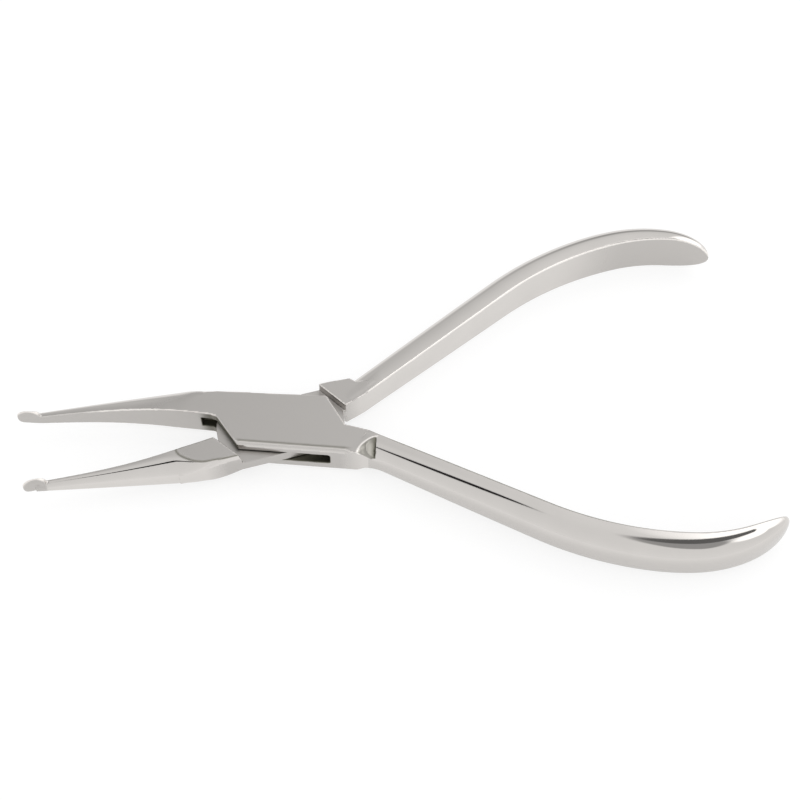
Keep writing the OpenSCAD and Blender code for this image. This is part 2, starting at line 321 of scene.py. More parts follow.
def pad_distance(d, y, z, length):
    """Oval domed pad at a jaw's tip."""
    neck = length - PAD_LENGTH
    along = np.abs(d - (length - PAD_LENGTH / 2)) / (PAD_LENGTH / 2)
    across = np.abs(z - PAD_RISE) / (PAD_HEIGHT / 2)
    corner = np.where(z > PAD_RISE, PAD_SQUARENESS, PAD_HEEL_SQUARENESS)
    thickness = between(NECK_THICKNESS, PAD_THICKNESS, ramp(d, neck, neck + PAD_SLOPE_LENGTH))
    out = np.maximum(y - jaw_inner(d, length), 0) / thickness
    rim = (along ** corner + across ** corner) ** (SQUARENESS / corner)
    dome = (rim + out ** SQUARENESS) ** (1 / SQUARENESS) - 1
    return dome * PAD_DOME_SCALE


def jaw_distance(x, y, z, length, least):
    """Blade and pad of a jaw, cut off along the hollow inner face."""
    d = -x
    neck = length - PAD_LENGTH
    blade = blade_distance(d, y, z, length, least)
    whole = rounded_min(blade, pad_distance(d, y, z, length), PAD_FILLET)
    edge = between(JAW_EDGE, PAD_EDGE, smooth_ramp(d, neck, neck + PAD_SLOPE_LENGTH))
    return rounded_max(whole, jaw_inner(d, length) - y, edge)


# Handles, drawn on the side where y is below 0


def outward(angle):
    return np.array([math.sin(angle), -math.cos(angle)])


def path_places(root_y):
    """Start and direction of the handle's inner face, and the centres of its two bends."""
    start = np.array([HANDLE_ROOT_DISTANCE, root_y])
    ahead = np.array([math.cos(HANDLE_ANGLE), -math.sin(HANDLE_ANGLE)])
    straight_end = start + HANDLE_STRAIGHT * ahead
    bend_centre = straight_end - BEND_RADIUS * outward(-HANDLE_ANGLE)
    bend_end = bend_centre + BEND_RADIUS * outward(0)
    tip_centre = bend_end - TIP_RADIUS * outward(0)
    return start, ahead, bend_centre, tip_centre


def handle_point(along, root_y):
    start, ahead, _, _ = path_places(root_y)
    return start + along * ahead


def inner_depth(x, y, root_y):
    """Depth behind the straight stretch of a handle's inner face."""
    start, _, _, _ = path_places(root_y)
    out = outward(-HANDLE_ANGLE)
    return (x - start[0]) * out[0] + (y - start[1]) * out[1]


def handle_place(x, y, root_y):
    """Distance along the handle's bent inner face, and depth behind it."""
    start, ahead, bend_centre, tip_centre = path_places(root_y)
    along = (x - start[0]) * ahead[0] + (y - start[1]) * ahead[1]
    depth = inner_depth(x, y, root_y)
    in_bend = along > HANDLE_STRAIGHT
    vx = x - bend_centre[0]
    vy = y - bend_centre[1]
    angle = np.arctan2(vx, -vy)
    along = np.where(in_bend, HANDLE_STRAIGHT + BEND_RADIUS * (angle + HANDLE_ANGLE), along)
    depth = np.where(in_bend, np.hypot(vx, vy) - BEND_RADIUS, depth)
    in_tip = in_bend & (angle > 0)
    vx = x - tip_centre[0]
    vy = y - tip_centre[1]
    turn = np.arctan2(vx, -vy)
    along = np.where(in_tip, HANDLE_STRAIGHT + BEND_LENGTH + TIP_RADIUS * turn, along)
    depth = np.where(in_tip, np.hypot(vx, vy) - TIP_RADIUS, depth)
    return along, depth


def swell(along, root, full, span):
    """Size that grows from the root to its full value, then rounds off over the end's span."""
    grown = between(root, full, np.sin(np.pi / 2 * ramp(along, 0, HANDLE_LENGTH - span)))
    ending = ramp(along, HANDLE_LENGTH - span, HANDLE_LENGTH)
    return grown * np.sqrt(np.maximum(1 - ending ** 2, LEAST_END_SHARE))


def handle_distance(x, y, z, root_y, first):
    """Half-round handle, flat on its inner face, that follows the bent path."""
    along, depth = handle_place(x, y, root_y)
    thickness = swell(along, HANDLE_ROOT_THICKNESS, HANDLE_THICKNESS, END_ROUND_THICKNESS)
    height = swell(along, HANDLE_ROOT_HEIGHT, HANDLE_END_HEIGHT, END_ROUND_HEIGHT)
    bar = d_distance(depth, z, thickness, height, HANDLE_SQUARENESS)
    bar = rounded_max(bar, -depth, np.minimum(HANDLE_EDGE, thickness * HANDLE_EDGE_SHARE))
    return most(bar, along - HANDLE_LENGTH, first - along)


# Joint and whole arms


def ground(field, z, edge):
    """Faces of the joint and of the jaws' roots ground flat."""
    return rounded_max(field, np.abs(z) - JOINT_HALF, edge)


def edge_place(along, root_y):
    """Point just behind a handle's inner face, where the joint's edge runs."""
    return handle_point(along, root_y) - np.array([0, ROOT_EDGE_INSET])


def box_outline():
    """Outline of the box arm's cheeks in plan."""
    top = np.array([THROAT[0], FAR_EDGE + FAR_EDGE_RISE])
    first = edge_place(EDGE_START_ALONG, BOX_ROOT_Y)
    last = edge_place(BOX_EDGE_END_ALONG, BOX_ROOT_Y)
    points = [np.array([BEHIND_THROAT[0], top[1] - OUTLINE_TRIM]), top - np.array([OUTLINE_TRIM, 0])]
    points += rounded_corner(top, FAR_CORNER, CROTCH, CORNER_RADIUS)
    points += [CROTCH, first, last, np.array([last[0], -NEAR_EDGE_AT_HANDLE]), NEAR_HANDLE_CORNER]
    points += rounded_corner(NEAR_HANDLE_CORNER, JAW_CORNER, THROAT, CORNER_RADIUS)
    points += rounded_corner(JAW_CORNER, THROAT, BEHIND_THROAT, THROAT_RADIUS)
    return points


def root_outline():
    """Outline of the tongue handle's root in plan, on the mirrored side."""
    first = edge_place(EDGE_START_ALONG, TONGUE_ROOT_Y)
    last = handle_point(ROOT_END_ALONG, TONGUE_ROOT_Y)
    points = [(ROOT_START, ROOT_LOW), (ROOT_FLAT_END, ROOT_LOW), ROOT_CORNER, ROOT_HEEL]
    return points + [last, first, SHOULDER_CORNER, (ROOT_START, SHOULDER_CORNER[1])]


def slot_distance(x, y, z):
    """Slot between the cheeks, with its notch past the throat and its window's square end."""
    turned = np.hypot(x, y)
    level = np.abs(z) - SLOT_HALF
    corner = np.minimum(rounded_max(x - WINDOW_END, level, WINDOW_CORNER), -y - WINDOW_WALL)
    hole = np.maximum(turned - SLOT_RADIUS, corner)
    notch = most(turned - NOTCH_RADIUS, np.abs(y) - NOTCH_DEPTH, x)
    return np.maximum(np.minimum(hole, notch), level)


def scoop_depth(x, y, z):
    """Depth inside the round scoop that frees the handle's crown from the joint's faces."""
    cx, cy, cz = SCOOP_CENTRE
    return SCOOP_RADIUS - np.sqrt((x - cx) ** 2 + (y - cy) ** 2 + (np.abs(z) - cz) ** 2)


def near_side(x, y, z):
    """1 along the joint's front near edge, which is rounded off more than the others."""
    along = smooth_ramp(x, *NEAR_SIDE_START) * smooth_ramp(x, *NEAR_SIDE_END)
    return smooth_ramp(-y, *NEAR_SIDE_DEPTH) * along * (z > 0)


def rivet_hole(x, y, z):
    """Distance from the rivet's shank and from its countersunk heads."""
    widening = (RIVET_HEAD_RADIUS - RIVET_RADIUS) / RIVET_HEAD_DEPTH
    past_shank = np.maximum(np.abs(z) - JOINT_HALF + RIVET_HEAD_DEPTH, 0)
    return np.hypot(x, y) - RIVET_RADIUS - past_shank * widening


def box_jaw(x, y, z):
    return jaw_distance(x, y, z, BOX_JAW_LENGTH, FAR_EDGE + FAR_EDGE_RISE - EDGE_INSET)


def box_handle(x, y, z):
    return handle_distance(x, y, z, BOX_ROOT_Y, BOX_LOFT_START)


def box_block(x, y, scoop):
    return rounded_max(outline_distance(x, y, box_outline()), scoop, SCOOP_EDGE)


def box_arm_distance(x, y, z):
    """Jaw, cheeks and handle of the box arm, with the slot and the rivet's hole cut out."""
    scoop = scoop_depth(x, y, z)
    jaw = part(x < JAWS_END, box_jaw, x, y, z)
    block = part((x > JOINT_START) & (x < JOINT_END), box_block, x, y, scoop)
    face_edge = between(FACE_EDGE, NEAR_FACE_EDGE, near_side(x, y, z))
    field = ground(rounded_min(block, jaw, JAW_FILLET), z, face_edge)
    handle = part(x > HANDLES_START, box_handle, x, y, z)
    handle = np.maximum(handle, np.minimum(scoop, POCKET_END - x))
    fillet = HANDLE_FILLET * smooth_ramp(inner_depth(x, y, BOX_ROOT_Y), *FILLET_DEPTH)
    fillet = fillet + SIDE_FILLET * smooth_ramp(-y, *SIDE_FILLET_DEPTH)
    field = rounded_min(field, handle, fillet)
    field = rounded_max(field, -slot_distance(x, y, z), SLOT_EDGE)
    return np.maximum(field, -rivet_hole(x, y, z))


def root_side(z):
    """Outer side of the tongue arm's jaw at its root: flush with the tongue, leaning in to the front."""
    return TONGUE_NEAR_EDGE - TONGUE_ROOT_INSET - ROOT_LEAN * smooth_ramp(z, TONGUE_HALF, JOINT_HALF)


def shoulder_slope(x, y, z):
    """Distance past the slope that takes off the back corner of the tongue arm's jaw shoulder."""
    wall = unit(THROAT - JAW_CORNER)
    line = JAW_CORNER + JAW_SHOULDER_GAP * np.array([-wall[1], wall[0]])
    foot = line + wall * (-TONGUE_NEAR_EDGE - line[1]) / wall[1]
    corner = np.array([*foot, -JOINT_HALF])
    ahead = np.array([-SLOPE_LENGTH, 0, 0])
    across = SLOPE_DEPTH * np.array([*wall, 0])
    up = np.array([0, 0, SLOPE_HEIGHT])
    normal = unit(np.cross(across - ahead, up - ahead))
    normal *= np.sign(-ahead @ normal)
    from_edge = [value - place for value, place in zip((x, y, z), corner + ahead)]
    return sum(gap * slope for gap, slope in zip(from_edge, normal))


def tongue_jaw(x, y, z):
    return jaw_distance(x, y, z, TONGUE_JAW_LENGTH, root_side(z))


def tongue_handle(x, y, z):
    return handle_distance(x, y, z, TONGUE_ROOT_Y, TONGUE_LOFT_START)


def tongue_root(x, y):
    return outline_distance(x, y, root_outline())


def tongue_disc(x, y, z):
    """The tongue itself, a band of a disc that passes through the slot."""
    band = np.maximum(-TONGUE_NEAR_EDGE - y, y - FAR_EDGE + TONGUE_SETBACK)
    disc = rounded_max(np.hypot(x, y) - SLOT_RADIUS + SLOT_END_CLEARANCE, band, TONGUE_EDGE)
    return rounded_max(disc, np.abs(z) - TONGUE_HALF, TONGUE_EDGE)


def cheek_pocket(x, y, z):
    """Room for the box arm's cheeks on both faces of the tongue."""
    past_jaw = beyond(x, y, JAW_CORNER, THROAT, JAW_SHOULDER_GAP)
    past_handle = beyond(x, y, FAR_CORNER, CROTCH, HANDLE_SHOULDER_GAP)
    return most(past_jaw, past_handle, TONGUE_HALF - np.abs(z))


def tongue_arm_distance(x, y, z):
    """Jaw, tongue and handle of the tongue arm, with the rivet's hole cut out."""
    jaw = part(x < JAWS_END, tongue_jaw, x, -y, z)
    jaw = rounded_max(jaw, shoulder_slope(x, y, z), SLOPE_EDGE)
    root = part((x > JOINT_START) & (x < JOINT_END), tongue_root, x, -y)
    handle = part(x > HANDLES_START, tongue_handle, x, -y, z)
    first = edge_place(EDGE_START_ALONG, TONGUE_ROOT_Y)
    past_shoulder = beyond(x, -y, SHOULDER_CORNER, first, 0)
    handle = np.where(x < first[0], np.maximum(handle, past_shoulder), handle)
    fillet = HANDLE_FILLET * smooth_ramp(inner_depth(x, -y, TONGUE_ROOT_Y), *FILLET_DEPTH)
    field = rounded_min(ground(np.minimum(root, jaw), z, FACE_EDGE), handle, fillet)
    field = rounded_max(field, -cheek_pocket(x, y, z), JAW_EDGE)
    field = np.minimum(field, tongue_disc(x, y, z))
    return np.maximum(field, RIVET_RADIUS + RIVET_CLEARANCE - np.hypot(x, y))


# Meshing: the grid's step in mm, its blocks, and the limits of the steps onto the surface
GRID = 0.18
BLOCK = 5
BLOCK_REACH = 2.2
CHUNK = 3000
STEP_LIMIT = 0.5 * GRID
DRIFT_LIMIT = 0.8 * GRID
SLOPE_STEP = 0.01
NORMAL_STEP = 0.02
LEAST_SQUARE = 0.05
TINY = 1e-9


def sampled(distance, low, high):
    """Distance at every grid point near the surface, and a plain sign elsewhere."""
    side = GRID * BLOCK
    count = [int(math.ceil((h - l) / side)) for l, h in zip(low, high)]
    blocks = np.indices(count).reshape(3, -1).T
    rough = distance(*((blocks + 0.5) * side + low).T)
    coarse = np.where(rough < 0, -1.0, 1.0).reshape(count)
    field = np.ones([c * BLOCK + 1 for c in count])
    field[:-1, :-1, :-1] = np.kron(coarse, np.ones((BLOCK,) * 3))
    active = blocks[np.abs(rough) < side * BLOCK_REACH]
    steps = np.indices((BLOCK + 1,) * 3).reshape(3, -1).T
    for chunk in np.array_split(active, max(len(active) // CHUNK, 1)):
        cells = (chunk[:, None, :] * BLOCK + steps[None]).reshape(-1, 3)
        field[tuple(cells.T)] = distance(*(cells * GRID + low).T)
    return field


def net_vertices(field, cells, corners):
    """One vertex in each crossed cell: the mean of the places where the surface cuts its edges."""
    values = {c: field[tuple((cells + c).T)] for c in corners}
    place = np.zeros((len(cells), 3))
    weight = np.zeros(len(cells))
    for a in corners:
        for axis in range(3):
            if a[axis]:
                continue
            b = tuple(1 if i == axis else a[i] for i in range(3))
            crossed = (values[a] < 0) != (values[b] < 0)
            t = np.where(crossed, values[a] / np.where(crossed, values[a] - values[b], 1), 0)
            point = np.repeat(np.array(a, float)[None], len(cells), 0)
            point[:, axis] = t
            place += np.where(crossed[:, None], point, 0)
            weight += crossed
    return cells + place / weight[:, None]


def net_quads(inside, number, axis):
    """Quads round the grid edges along one axis that the surface cuts, facing out."""
    ends = [slice(None)] * 3
    starts = [slice(None)] * 3
    ends[axis] = slice(1, None)
    starts[axis] = slice(None, -1)
    edge = np.argwhere(inside[tuple(starts)] != inside[tuple(ends)])
    u = (axis + 1) % 3
    v = (axis + 2) % 3
    for side in (u, v):
        edge = edge[(edge[:, side] > 0) & (edge[:, side] < number.shape[side])]
    du = np.eye(3, dtype=int)[u]
    dv = np.eye(3, dtype=int)[v]
    ring = [edge - du - dv, edge - dv, edge, edge - du]
    quad = np.stack([number[tuple(r.T)] for r in ring], 1)
    faces_back = ~inside[tuple(edge.T)]
    quad[faces_back] = quad[faces_back][:, ::-1]
    return quad


def netted(field, low):
    """Vertices and quads of the zero surface."""
    inside = field < 0
    shape = np.array(field.shape) - 1
    total = np.zeros(shape, np.uint8)
    corners = [(i, j, k) for i in (0, 1) for j in (0, 1) for k in (0, 1)]
    for i, j, k in corners:
        total += inside[i:i + shape[0], j:j + shape[1], k:k + shape[2]]
    cells = np.argwhere((total > 0) & (total < len(corners)))
    number = np.full(shape, -1, np.int64)
    number[tuple(cells.T)] = np.arange(len(cells))
    vertices = net_vertices(field, cells, corners) * GRID + low
    return vertices, np.concatenate([net_quads(inside, number, axis) for axis in range(3)])


def gradient(distance, p, step):
    slopes = []
    for shift in np.eye(3) * step:
        slopes.append((distance(*(p + shift).T) - distance(*(p - shift).T)) / (2 * step))
    return np.stack(slopes, 1)


def limited(step, longest):
    """Steps cut back to a longest length."""
    length = np.linalg.norm(step, axis=1)
    return step * np.minimum(1, longest / np.maximum(length, TINY))[:, None]


def settled(distance, vertices, rounds=3):
    """Vertices moved onto the zero surface, with the surface's own normals."""
    home = vertices.copy()
    for _ in range(rounds):
        slope = gradient(distance, vertices, SLOPE_STEP)
        square = np.maximum((slope ** 2).sum(1), LEAST_SQUARE)
        step = -distance(*vertices.T)[:, None] * slope / square[:, None]
        vertices = vertices + limited(step, STEP_LIMIT)
        vertices = home + limited(vertices - home, DRIFT_LIMIT)
    slope = gradient(distance, vertices, NORMAL_STEP)
    return vertices, slope / np.maximum(np.linalg.norm(slope, axis=1), TINY)[:, None]


def swung(points, angle, lift):
    """Points turned about the rivet and lifted."""
    cos = math.cos(angle)
    sin = math.sin(angle)
    turn = np.array([[cos, -sin, 0], [sin, cos, 0], [0, 0, 1]])
    return points @ turn.T + np.array([0, 0, lift])


def meshed(name, vertices, faces, finishes, normals=None):
    """Object with its finishes as point values, flat-shaded where no normals are given."""
    mesh = bpy.data.meshes.new(name)
    mesh.from_pydata((vertices * MM).tolist(), [], faces)
    mesh.validate()
    if normals is None:
        mesh.shade_flat()
    else:
        mesh.shade_smooth()
        mesh.normals_split_custom_set_from_vertices(normals.tolist())
    for key, values in finishes.items():
        mesh.attributes.new(key, "FLOAT", "POINT").data.foreach_set("value", values)
    mesh.update()
    piece = bpy.data.objects.new(name, mesh)
    bpy.context.scene.collection.objects.link(piece)
    return piece


# Finishes of both arms. A pair is where a finish starts and where it is full, in mm
# or as a part of the surface's normal
BOX_GROUND_LEVEL = (JOINT_HALF - 0.66, JOINT_HALF - 0.06)
TONGUE_GROUND_LEVEL = (JOINT_HALF - 0.088, JOINT_HALF - 0.008)
GROUND_ALONG = (20.0, 16.0)
BLOCK_SIDE_ALONG = (15.0, 11.0)
BLOCK_SIDE_SLOPE = 0.4
INNER_FACE_SLOPE = (0.7, 0.9)
PAD_START_LENGTH = 0.5
# Where highlights are painted on the edges of the ground faces
HIGHLIGHT_LEVEL = (JOINT_HALF - 0.18, JOINT_HALF - 0.03)
HIGHLIGHT_TOP_SLOPE = (0.96, 0.92)
HIGHLIGHT_SIDE_SLOPE = (0.2, 0.4)
HIGHLIGHT_END = 16.0
PAD_RIM = (0.9, 0.98)


def satin(p, normals, side, ground_level):
    """1 on the ground faces of the joint, on the jaws' roots and on the jaws' inner faces."""
    x, _, z = p.T
    ground_face = ramp(np.abs(z), *ground_level) * ramp(x, *GROUND_ALONG)
    block_side = (np.abs(normals[:, 2]) < BLOCK_SIDE_SLOPE) * ramp(np.abs(x), *BLOCK_SIDE_ALONG)
    inner_face = (x < -THROAT_DISTANCE) * ramp(-side * normals[:, 1], *INNER_FACE_SLOPE)
    return most(ground_face, block_side, inner_face)


def on_pad(p, length):
    """0 on a jaw's neck and 1 on its tip pad."""
    neck = length - PAD_LENGTH
    return smooth_ramp(-p[:, 0], neck, neck + PAD_START_LENGTH)


def edge_highlight(p, normals, length):
    """1 where a highlight is painted: on the edges of the ground faces and on the front rim of the tip
    pad.
    """
    x, _, z = p.T
    steep = np.abs(normals[:, 2])
    edge = ramp(np.abs(z), *HIGHLIGHT_LEVEL) * ramp(steep, *HIGHLIGHT_TOP_SLOPE)
    edge *= ramp(steep, *HIGHLIGHT_SIDE_SLOPE) * (np.abs(x) < HIGHLIGHT_END)
    along = (-x - length + PAD_LENGTH / 2) / (PAD_LENGTH / 2)
    from_middle = np.hypot(along, (z - PAD_RISE) / (PAD_HEIGHT / 2))
    rim = on_pad(p, length) * ramp(from_middle, *PAD_RIM) * (z > PAD_RISE)
    return np.maximum(edge, rim)


# Painted shade in the dark places of the box arm
SLOT_WALL = (0.15, 0.05)
IN_SCOOP = (-0.12, -0.06)
SCOOP_END = POCKET_END + 0.05
SCOOP_SIDE = -NEAR_EDGE_AT_HANDLE - 0.15
SCOOP_BACK = (POCKET_END - 1.2, POCKET_END)
SCOOP_SHADE = 0.6
SCOOP_BACK_SHADE = 0.95
UPRIGHT_SLOPE = (0.5, 0.4)
BELOW_FACE = (JOINT_HALF - 0.2, JOINT_HALF - 0.4)
FRONT_WALL_DEPTH = 0.15
FRONT_WALL_END = -6.8
FRONT_WALL_SHADE = 0.9
THROAT_REACH = (3.6, 1.2)
THROAT_SHADE = 0.7
SHADE_DEPTH = (0.5, 0.3)
SHADE_START = (6.0, 12.0)
SHADE_END = (60.0, 40.0)
SHADE_TOP_SLOPE = (0.995, 0.975)
SHADE_SIDE_SLOPE = (0.3, 0.5)
BRINK_INSET = 0.92
BRINK_WIDTH = (0.3, 0.05)
BRINK_LEVEL = JOINT_HALF - 0.1
SOFT_SHADE = 0.6


# Painted shade on the walls inside the slot
def slot_painted_shade(p):
    return ramp(slot_distance(*p.T), *SLOT_WALL)


def scoop_painted_shade(p):
    """Painted shade on the walls of the scoops, darker where they meet the handle."""
    x, y, z = p.T
    inside = ramp(scoop_depth(x, y, z), *IN_SCOOP) * (x < SCOOP_END) * (y > SCOOP_SIDE)
    return inside * between(SCOOP_SHADE, SCOOP_BACK_SHADE, smooth_ramp(x, *SCOOP_BACK))


def front_painted_shade(p, normals):
    """Painted shade on the front wall of the joint below its ground faces, and on the walls of the
    throat.
    """
    x, y, z = p.T
    on_wall = np.abs(beyond(x, y, JAW_CORNER, THROAT, 0)) < FRONT_WALL_DEPTH
    wall = FRONT_WALL_SHADE * on_wall * (x < FRONT_WALL_END)
    throat = THROAT_SHADE * smooth_ramp(np.hypot(x - THROAT[0], y - THROAT[1]), *THROAT_REACH)
    upright = ramp(np.abs(normals[:, 2]), *UPRIGHT_SLOPE)
    return np.maximum(wall, throat) * upright * ramp(np.abs(z), *BELOW_FACE)


def handle_shade(p, normals):
    """Soft shade along the front edge of the handle's inner face."""
    x, y, _ = p.T
    along, depth = handle_place(x, y, BOX_ROOT_Y)
    place = ramp(depth, *SHADE_DEPTH) * smooth_ramp(along, *SHADE_START) * smooth_ramp(along, *SHADE_END)
    on_edge = ramp(normals[:, 2], *SHADE_TOP_SLOPE) * ramp(normals[:, 2], *SHADE_SIDE_SLOPE)
    return SOFT_SHADE * place * on_edge


def brink_shade(p):
    """Painted soft shade line where the rounded near edge runs into the front face."""
    x, y, z = p.T
    inset = beyond(x, y, JAW_CORNER, NEAR_HANDLE_CORNER, 0)
    line = ramp(np.abs(inset - BRINK_INSET), *BRINK_WIDTH) * (z > BRINK_LEVEL)
    return SOFT_SHADE * line * near_side(x, y, z)


# Painted highlights on the edges of the box arm, its satin places, and painted shade under its handle
BAND_OUTSIDE = (-0.32, -0.24)
BAND_INSIDE = (-0.04, -0.09)
BAND_LEVEL = JOINT_HALF - 0.5
BAND_END = POCKET_END + 0.3
BEVEL_HEIGHT = (0.5, 0.3)
BEVEL_TIP = (-36.0, -32.0)
BEVEL_TOP_SLOPE = (0.985, 0.935)
BEVEL_SIDE_SLOPE = (0.1, 0.3)
IN_THROAT = (-7.3, -7.9)
THROAT_SIDE = 1.0
THROAT_LOSS = 0.7
IN_SLOT = 0.5
OFF_SCOOP = (-0.2, -0.325)
UNDERSIDE_SLOPE = (0.62, -0.28)
UNDERSIDE_START = 16.0
# Strength of the painted shade on the handle's underside
UNDERSIDE_SHADE = 0.9


def scoop_band(p):
    """Painted highlight band on the rim of the scoops on the ground faces."""
    x, y, z = p.T
    depth = scoop_depth(x, y, z)
    band = ramp(depth, *BAND_OUTSIDE) * ramp(depth, *BAND_INSIDE)
    return band * (np.abs(z) > BAND_LEVEL) * (x < BAND_END)


def jaw_bevel(p, normals):
    """Painted highlight along the edge of the upper jaw's inner face."""
    x, y, _ = p.T
    place = ramp(y - jaw_inner(-x, BOX_JAW_LENGTH), *BEVEL_HEIGHT) * ramp(x, *BEVEL_TIP)
    on_edge = ramp(-normals[:, 1], *BEVEL_TOP_SLOPE) * ramp(-normals[:, 1], *BEVEL_SIDE_SLOPE)
    return place * on_edge * (x < THROAT[0])


def box_finishes(p, normals):
    x, y, z = p.T
    in_throat = smooth_ramp(x, *IN_THROAT) * (x > THROAT[0]) * (y < THROAT_SIDE)
    # Painted highlights on edges, fainter in the throat
    toned = edge_highlight(p, normals, BOX_JAW_LENGTH) * (1 - THROAT_LOSS * in_throat)
    edges = most(toned, scoop_band(p), jaw_bevel(p, normals))
    slot = slot_painted_shade(p)
    flat = satin(p, normals, 1, BOX_GROUND_LEVEL) * ramp(scoop_depth(x, y, z), *OFF_SCOOP)
    # Painted shade on the handle's underside, darker towards the bottom
    under = ramp(normals[:, 2], *UNDERSIDE_SLOPE) * (x > UNDERSIDE_START) * (normals[:, 1] < 0)
    shade = np.maximum(handle_shade(p, normals), brink_shade(p))
    # Painted shade in recesses and along two edges; satin finish, with painted shade under the handle;
    # painted highlights on edges
    return {
        "painted_shade": most(slot, shade, scoop_painted_shade(p), front_painted_shade(p, normals)),
        "satin": most(flat, UNDERSIDE_SHADE * under, on_pad(p, BOX_JAW_LENGTH)),
        "edge_highlight": edges * (slot < IN_SLOT),
    }


# Finishes of the tongue arm, with its painted highlights and painted shade
HANDLE_EDGE_DEPTH = 0.4
HANDLE_EDGE_START = 5.0
HANDLE_TOP_SLOPE = (0.97, 0.89)
HANDLE_SIDE_SLOPE = (0.2, 0.4)
DIM_ALONG = (50.0, 66.0)
DIM_DEPTH = (0.15, 0.05)
# Strength of the painted shade at the end of the handle's inner face
DIM_SHADE = 0.9
TONGUE_FACE_SLOPE = 0.9
TONGUE_FACE_LEVEL = TONGUE_HALF + 0.05
TONGUE_FACE_END = 15.0
GROUND_LINE_PROBE = 0.1
GROUND_LINE_WIDTH = (0.26, 0.06)
GROUND_LINE_LEVEL = JOINT_HALF - 0.15
GROUND_LINE_END = -8.0
GROUND_LINE_SHADE = 0.85
LEAST_SLOPE = 0.02


def ground_line(p):
    """Fine line of painted shade round the ground face of the tongue arm's jaw root."""
    x, y, z = p.T
    level = np.full(len(p), JOINT_HALF)
    rim = tongue_jaw(x, -y, level)
    along = (tongue_jaw(x + GROUND_LINE_PROBE, -y, level) - rim) / GROUND_LINE_PROBE
    across = (tongue_jaw(x, -y + GROUND_LINE_PROBE, level) - rim) / GROUND_LINE_PROBE
    away = np.abs(rim) / np.maximum(np.hypot(along, across), LEAST_SLOPE)
    line = ramp(away, *GROUND_LINE_WIDTH) * (np.abs(z) > GROUND_LINE_LEVEL) * (x < GROUND_LINE_END)
    return GROUND_LINE_SHADE * line


def tongue_face(p, normals):
    """1 on the two faces of the tongue."""
    x, _, z = p.T
    level = (np.abs(normals[:, 2]) > TONGUE_FACE_SLOPE) * (np.abs(z) < TONGUE_FACE_LEVEL)
    return level * (np.abs(x) < TONGUE_FACE_END)


def tongue_finishes(p, normals):
    x, y, _ = p.T
    along, depth = handle_place(x, -y, TONGUE_ROOT_Y)
    # Painted highlight along the front edge of the handle's inner face
    edge = (depth < HANDLE_EDGE_DEPTH) * (along > HANDLE_EDGE_START)
    edge = edge * ramp(normals[:, 2], *HANDLE_TOP_SLOPE) * ramp(normals[:, 2], *HANDLE_SIDE_SLOPE)
    # Painted shade, darker towards the end of the handle's inner face
    dim = DIM_SHADE * smooth_ramp(along, *DIM_ALONG) * ramp(depth, *DIM_DEPTH)
    flat = satin(p, normals, -1, TONGUE_GROUND_LEVEL)
    # Painted shade line round the jaw root; satin finish, with painted shade at the handle's end;
    # painted highlights on edges
    return {
        "painted_shade": ground_line(p),
        "satin": most(flat, dim, tongue_face(p, normals), on_pad(p, TONGUE_JAW_LENGTH)),
        "edge_highlight": np.maximum(edge_highlight(p, normals, TONGUE_JAW_LENGTH), edge),
    }


# Pieces, with the box in which the arms are meshed
ARM_START = -48.6
ARM_END = 91.0
JAW_SIDE = 8.5
HANDLE_SIDE = 28.5
ARM_HALF = 4.8


def arm(name, distance, finishes, swing, low_y, high_y):
    """One steel arm, meshed closed and swung to the rest pose."""
    low = np.array([ARM_START, low_y, -ARM_HALF])
    high = np.array([ARM_END, high_y, ARM_HALF])
    vertices, quads = netted(sampled(distance, low, high), low)
    vertices, normals = settled(distance, vertices)
    placed = swung(vertices, swing, JOINT_HALF)
    return meshed(name, placed, quads.tolist(), finishes(vertices, normals), swung(normals, swing, 0))


def lathe(name, profile, count=96):
    """Closed turned piece from (radius, z) pairs that start and end off the axis."""
    angles = np.arange(count) * 2 * math.pi / count
    points = np.concatenate([
        np.stack([r * np.cos(angles), r * np.sin(angles), np.full(count, z)], 1) for r, z in profile
    ])
    faces = []
    for i in range(len(profile) - 1):
        for j in range(count):
            k = (j + 1) % count
            faces.append((i * count + j, i * count + k, (i + 1) * count + k, (i + 1) * count + j))
    last = (len(profile) - 1) * count
    faces.append(tuple(range(count - 1, -1, -1)))
    faces.append(tuple(range(last, last + count)))
    ends = np.abs(points[:, 2] - JOINT_HALF) > JOINT_HALF - RIVET_END_DEPTH
    return meshed(name, points, faces, {"satin": ends.astype(float)})


def rivet(name):
    """Rivet with cone-shaped heads, their rims spread thinly over the cheeks."""
    spread = RIVET_HEAD_RADIUS + RIVET_SPREAD
    half_profile = [
        (RIVET_CENTRE_RADIUS, JOINT_HALF + RIVET_PROUD),
        (spread, JOINT_HALF + RIVET_PROUD),
        (spread, JOINT_HALF - RIVET_PROUD),
        (RIVET_HEAD_RADIUS, JOINT_HALF - RIVET_PROUD),
        (RIVET_RADIUS, JOINT_HALF - RIVET_HEAD_DEPTH),
    ]
    below = [(r, JOINT_HALF - z) for r, z in half_profile]
    above = [(r, JOINT_HALF + z) for r, z in reversed(half_profile)]
    return lathe(name, below + above)


box_steel_piece = arm("box_arm_steel", box_arm_distance, box_finishes,
                      -REST_SWING, -HANDLE_SIDE, JAW_SIDE)
tongue_steel_piece = arm("tongue_arm_steel", tongue_arm_distance, tongue_finishes,
                         REST_SWING, -JAW_SIDE, HANDLE_SIDE)
rivet_piece = rivet("rivet_steel")

for piece, node, body, slot in (
    (box_steel_piece, "box_arm", "box_side", "box_arm_steel"),
    (tongue_steel_piece, "tongue_arm", "tongue_side", "tongue_arm_steel"),
    (rivet_piece, "pivot_rivet", "box_side", "rivet_steel"),
):
    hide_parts(node)
    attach(piece, body)


# Helpers for shader nodes


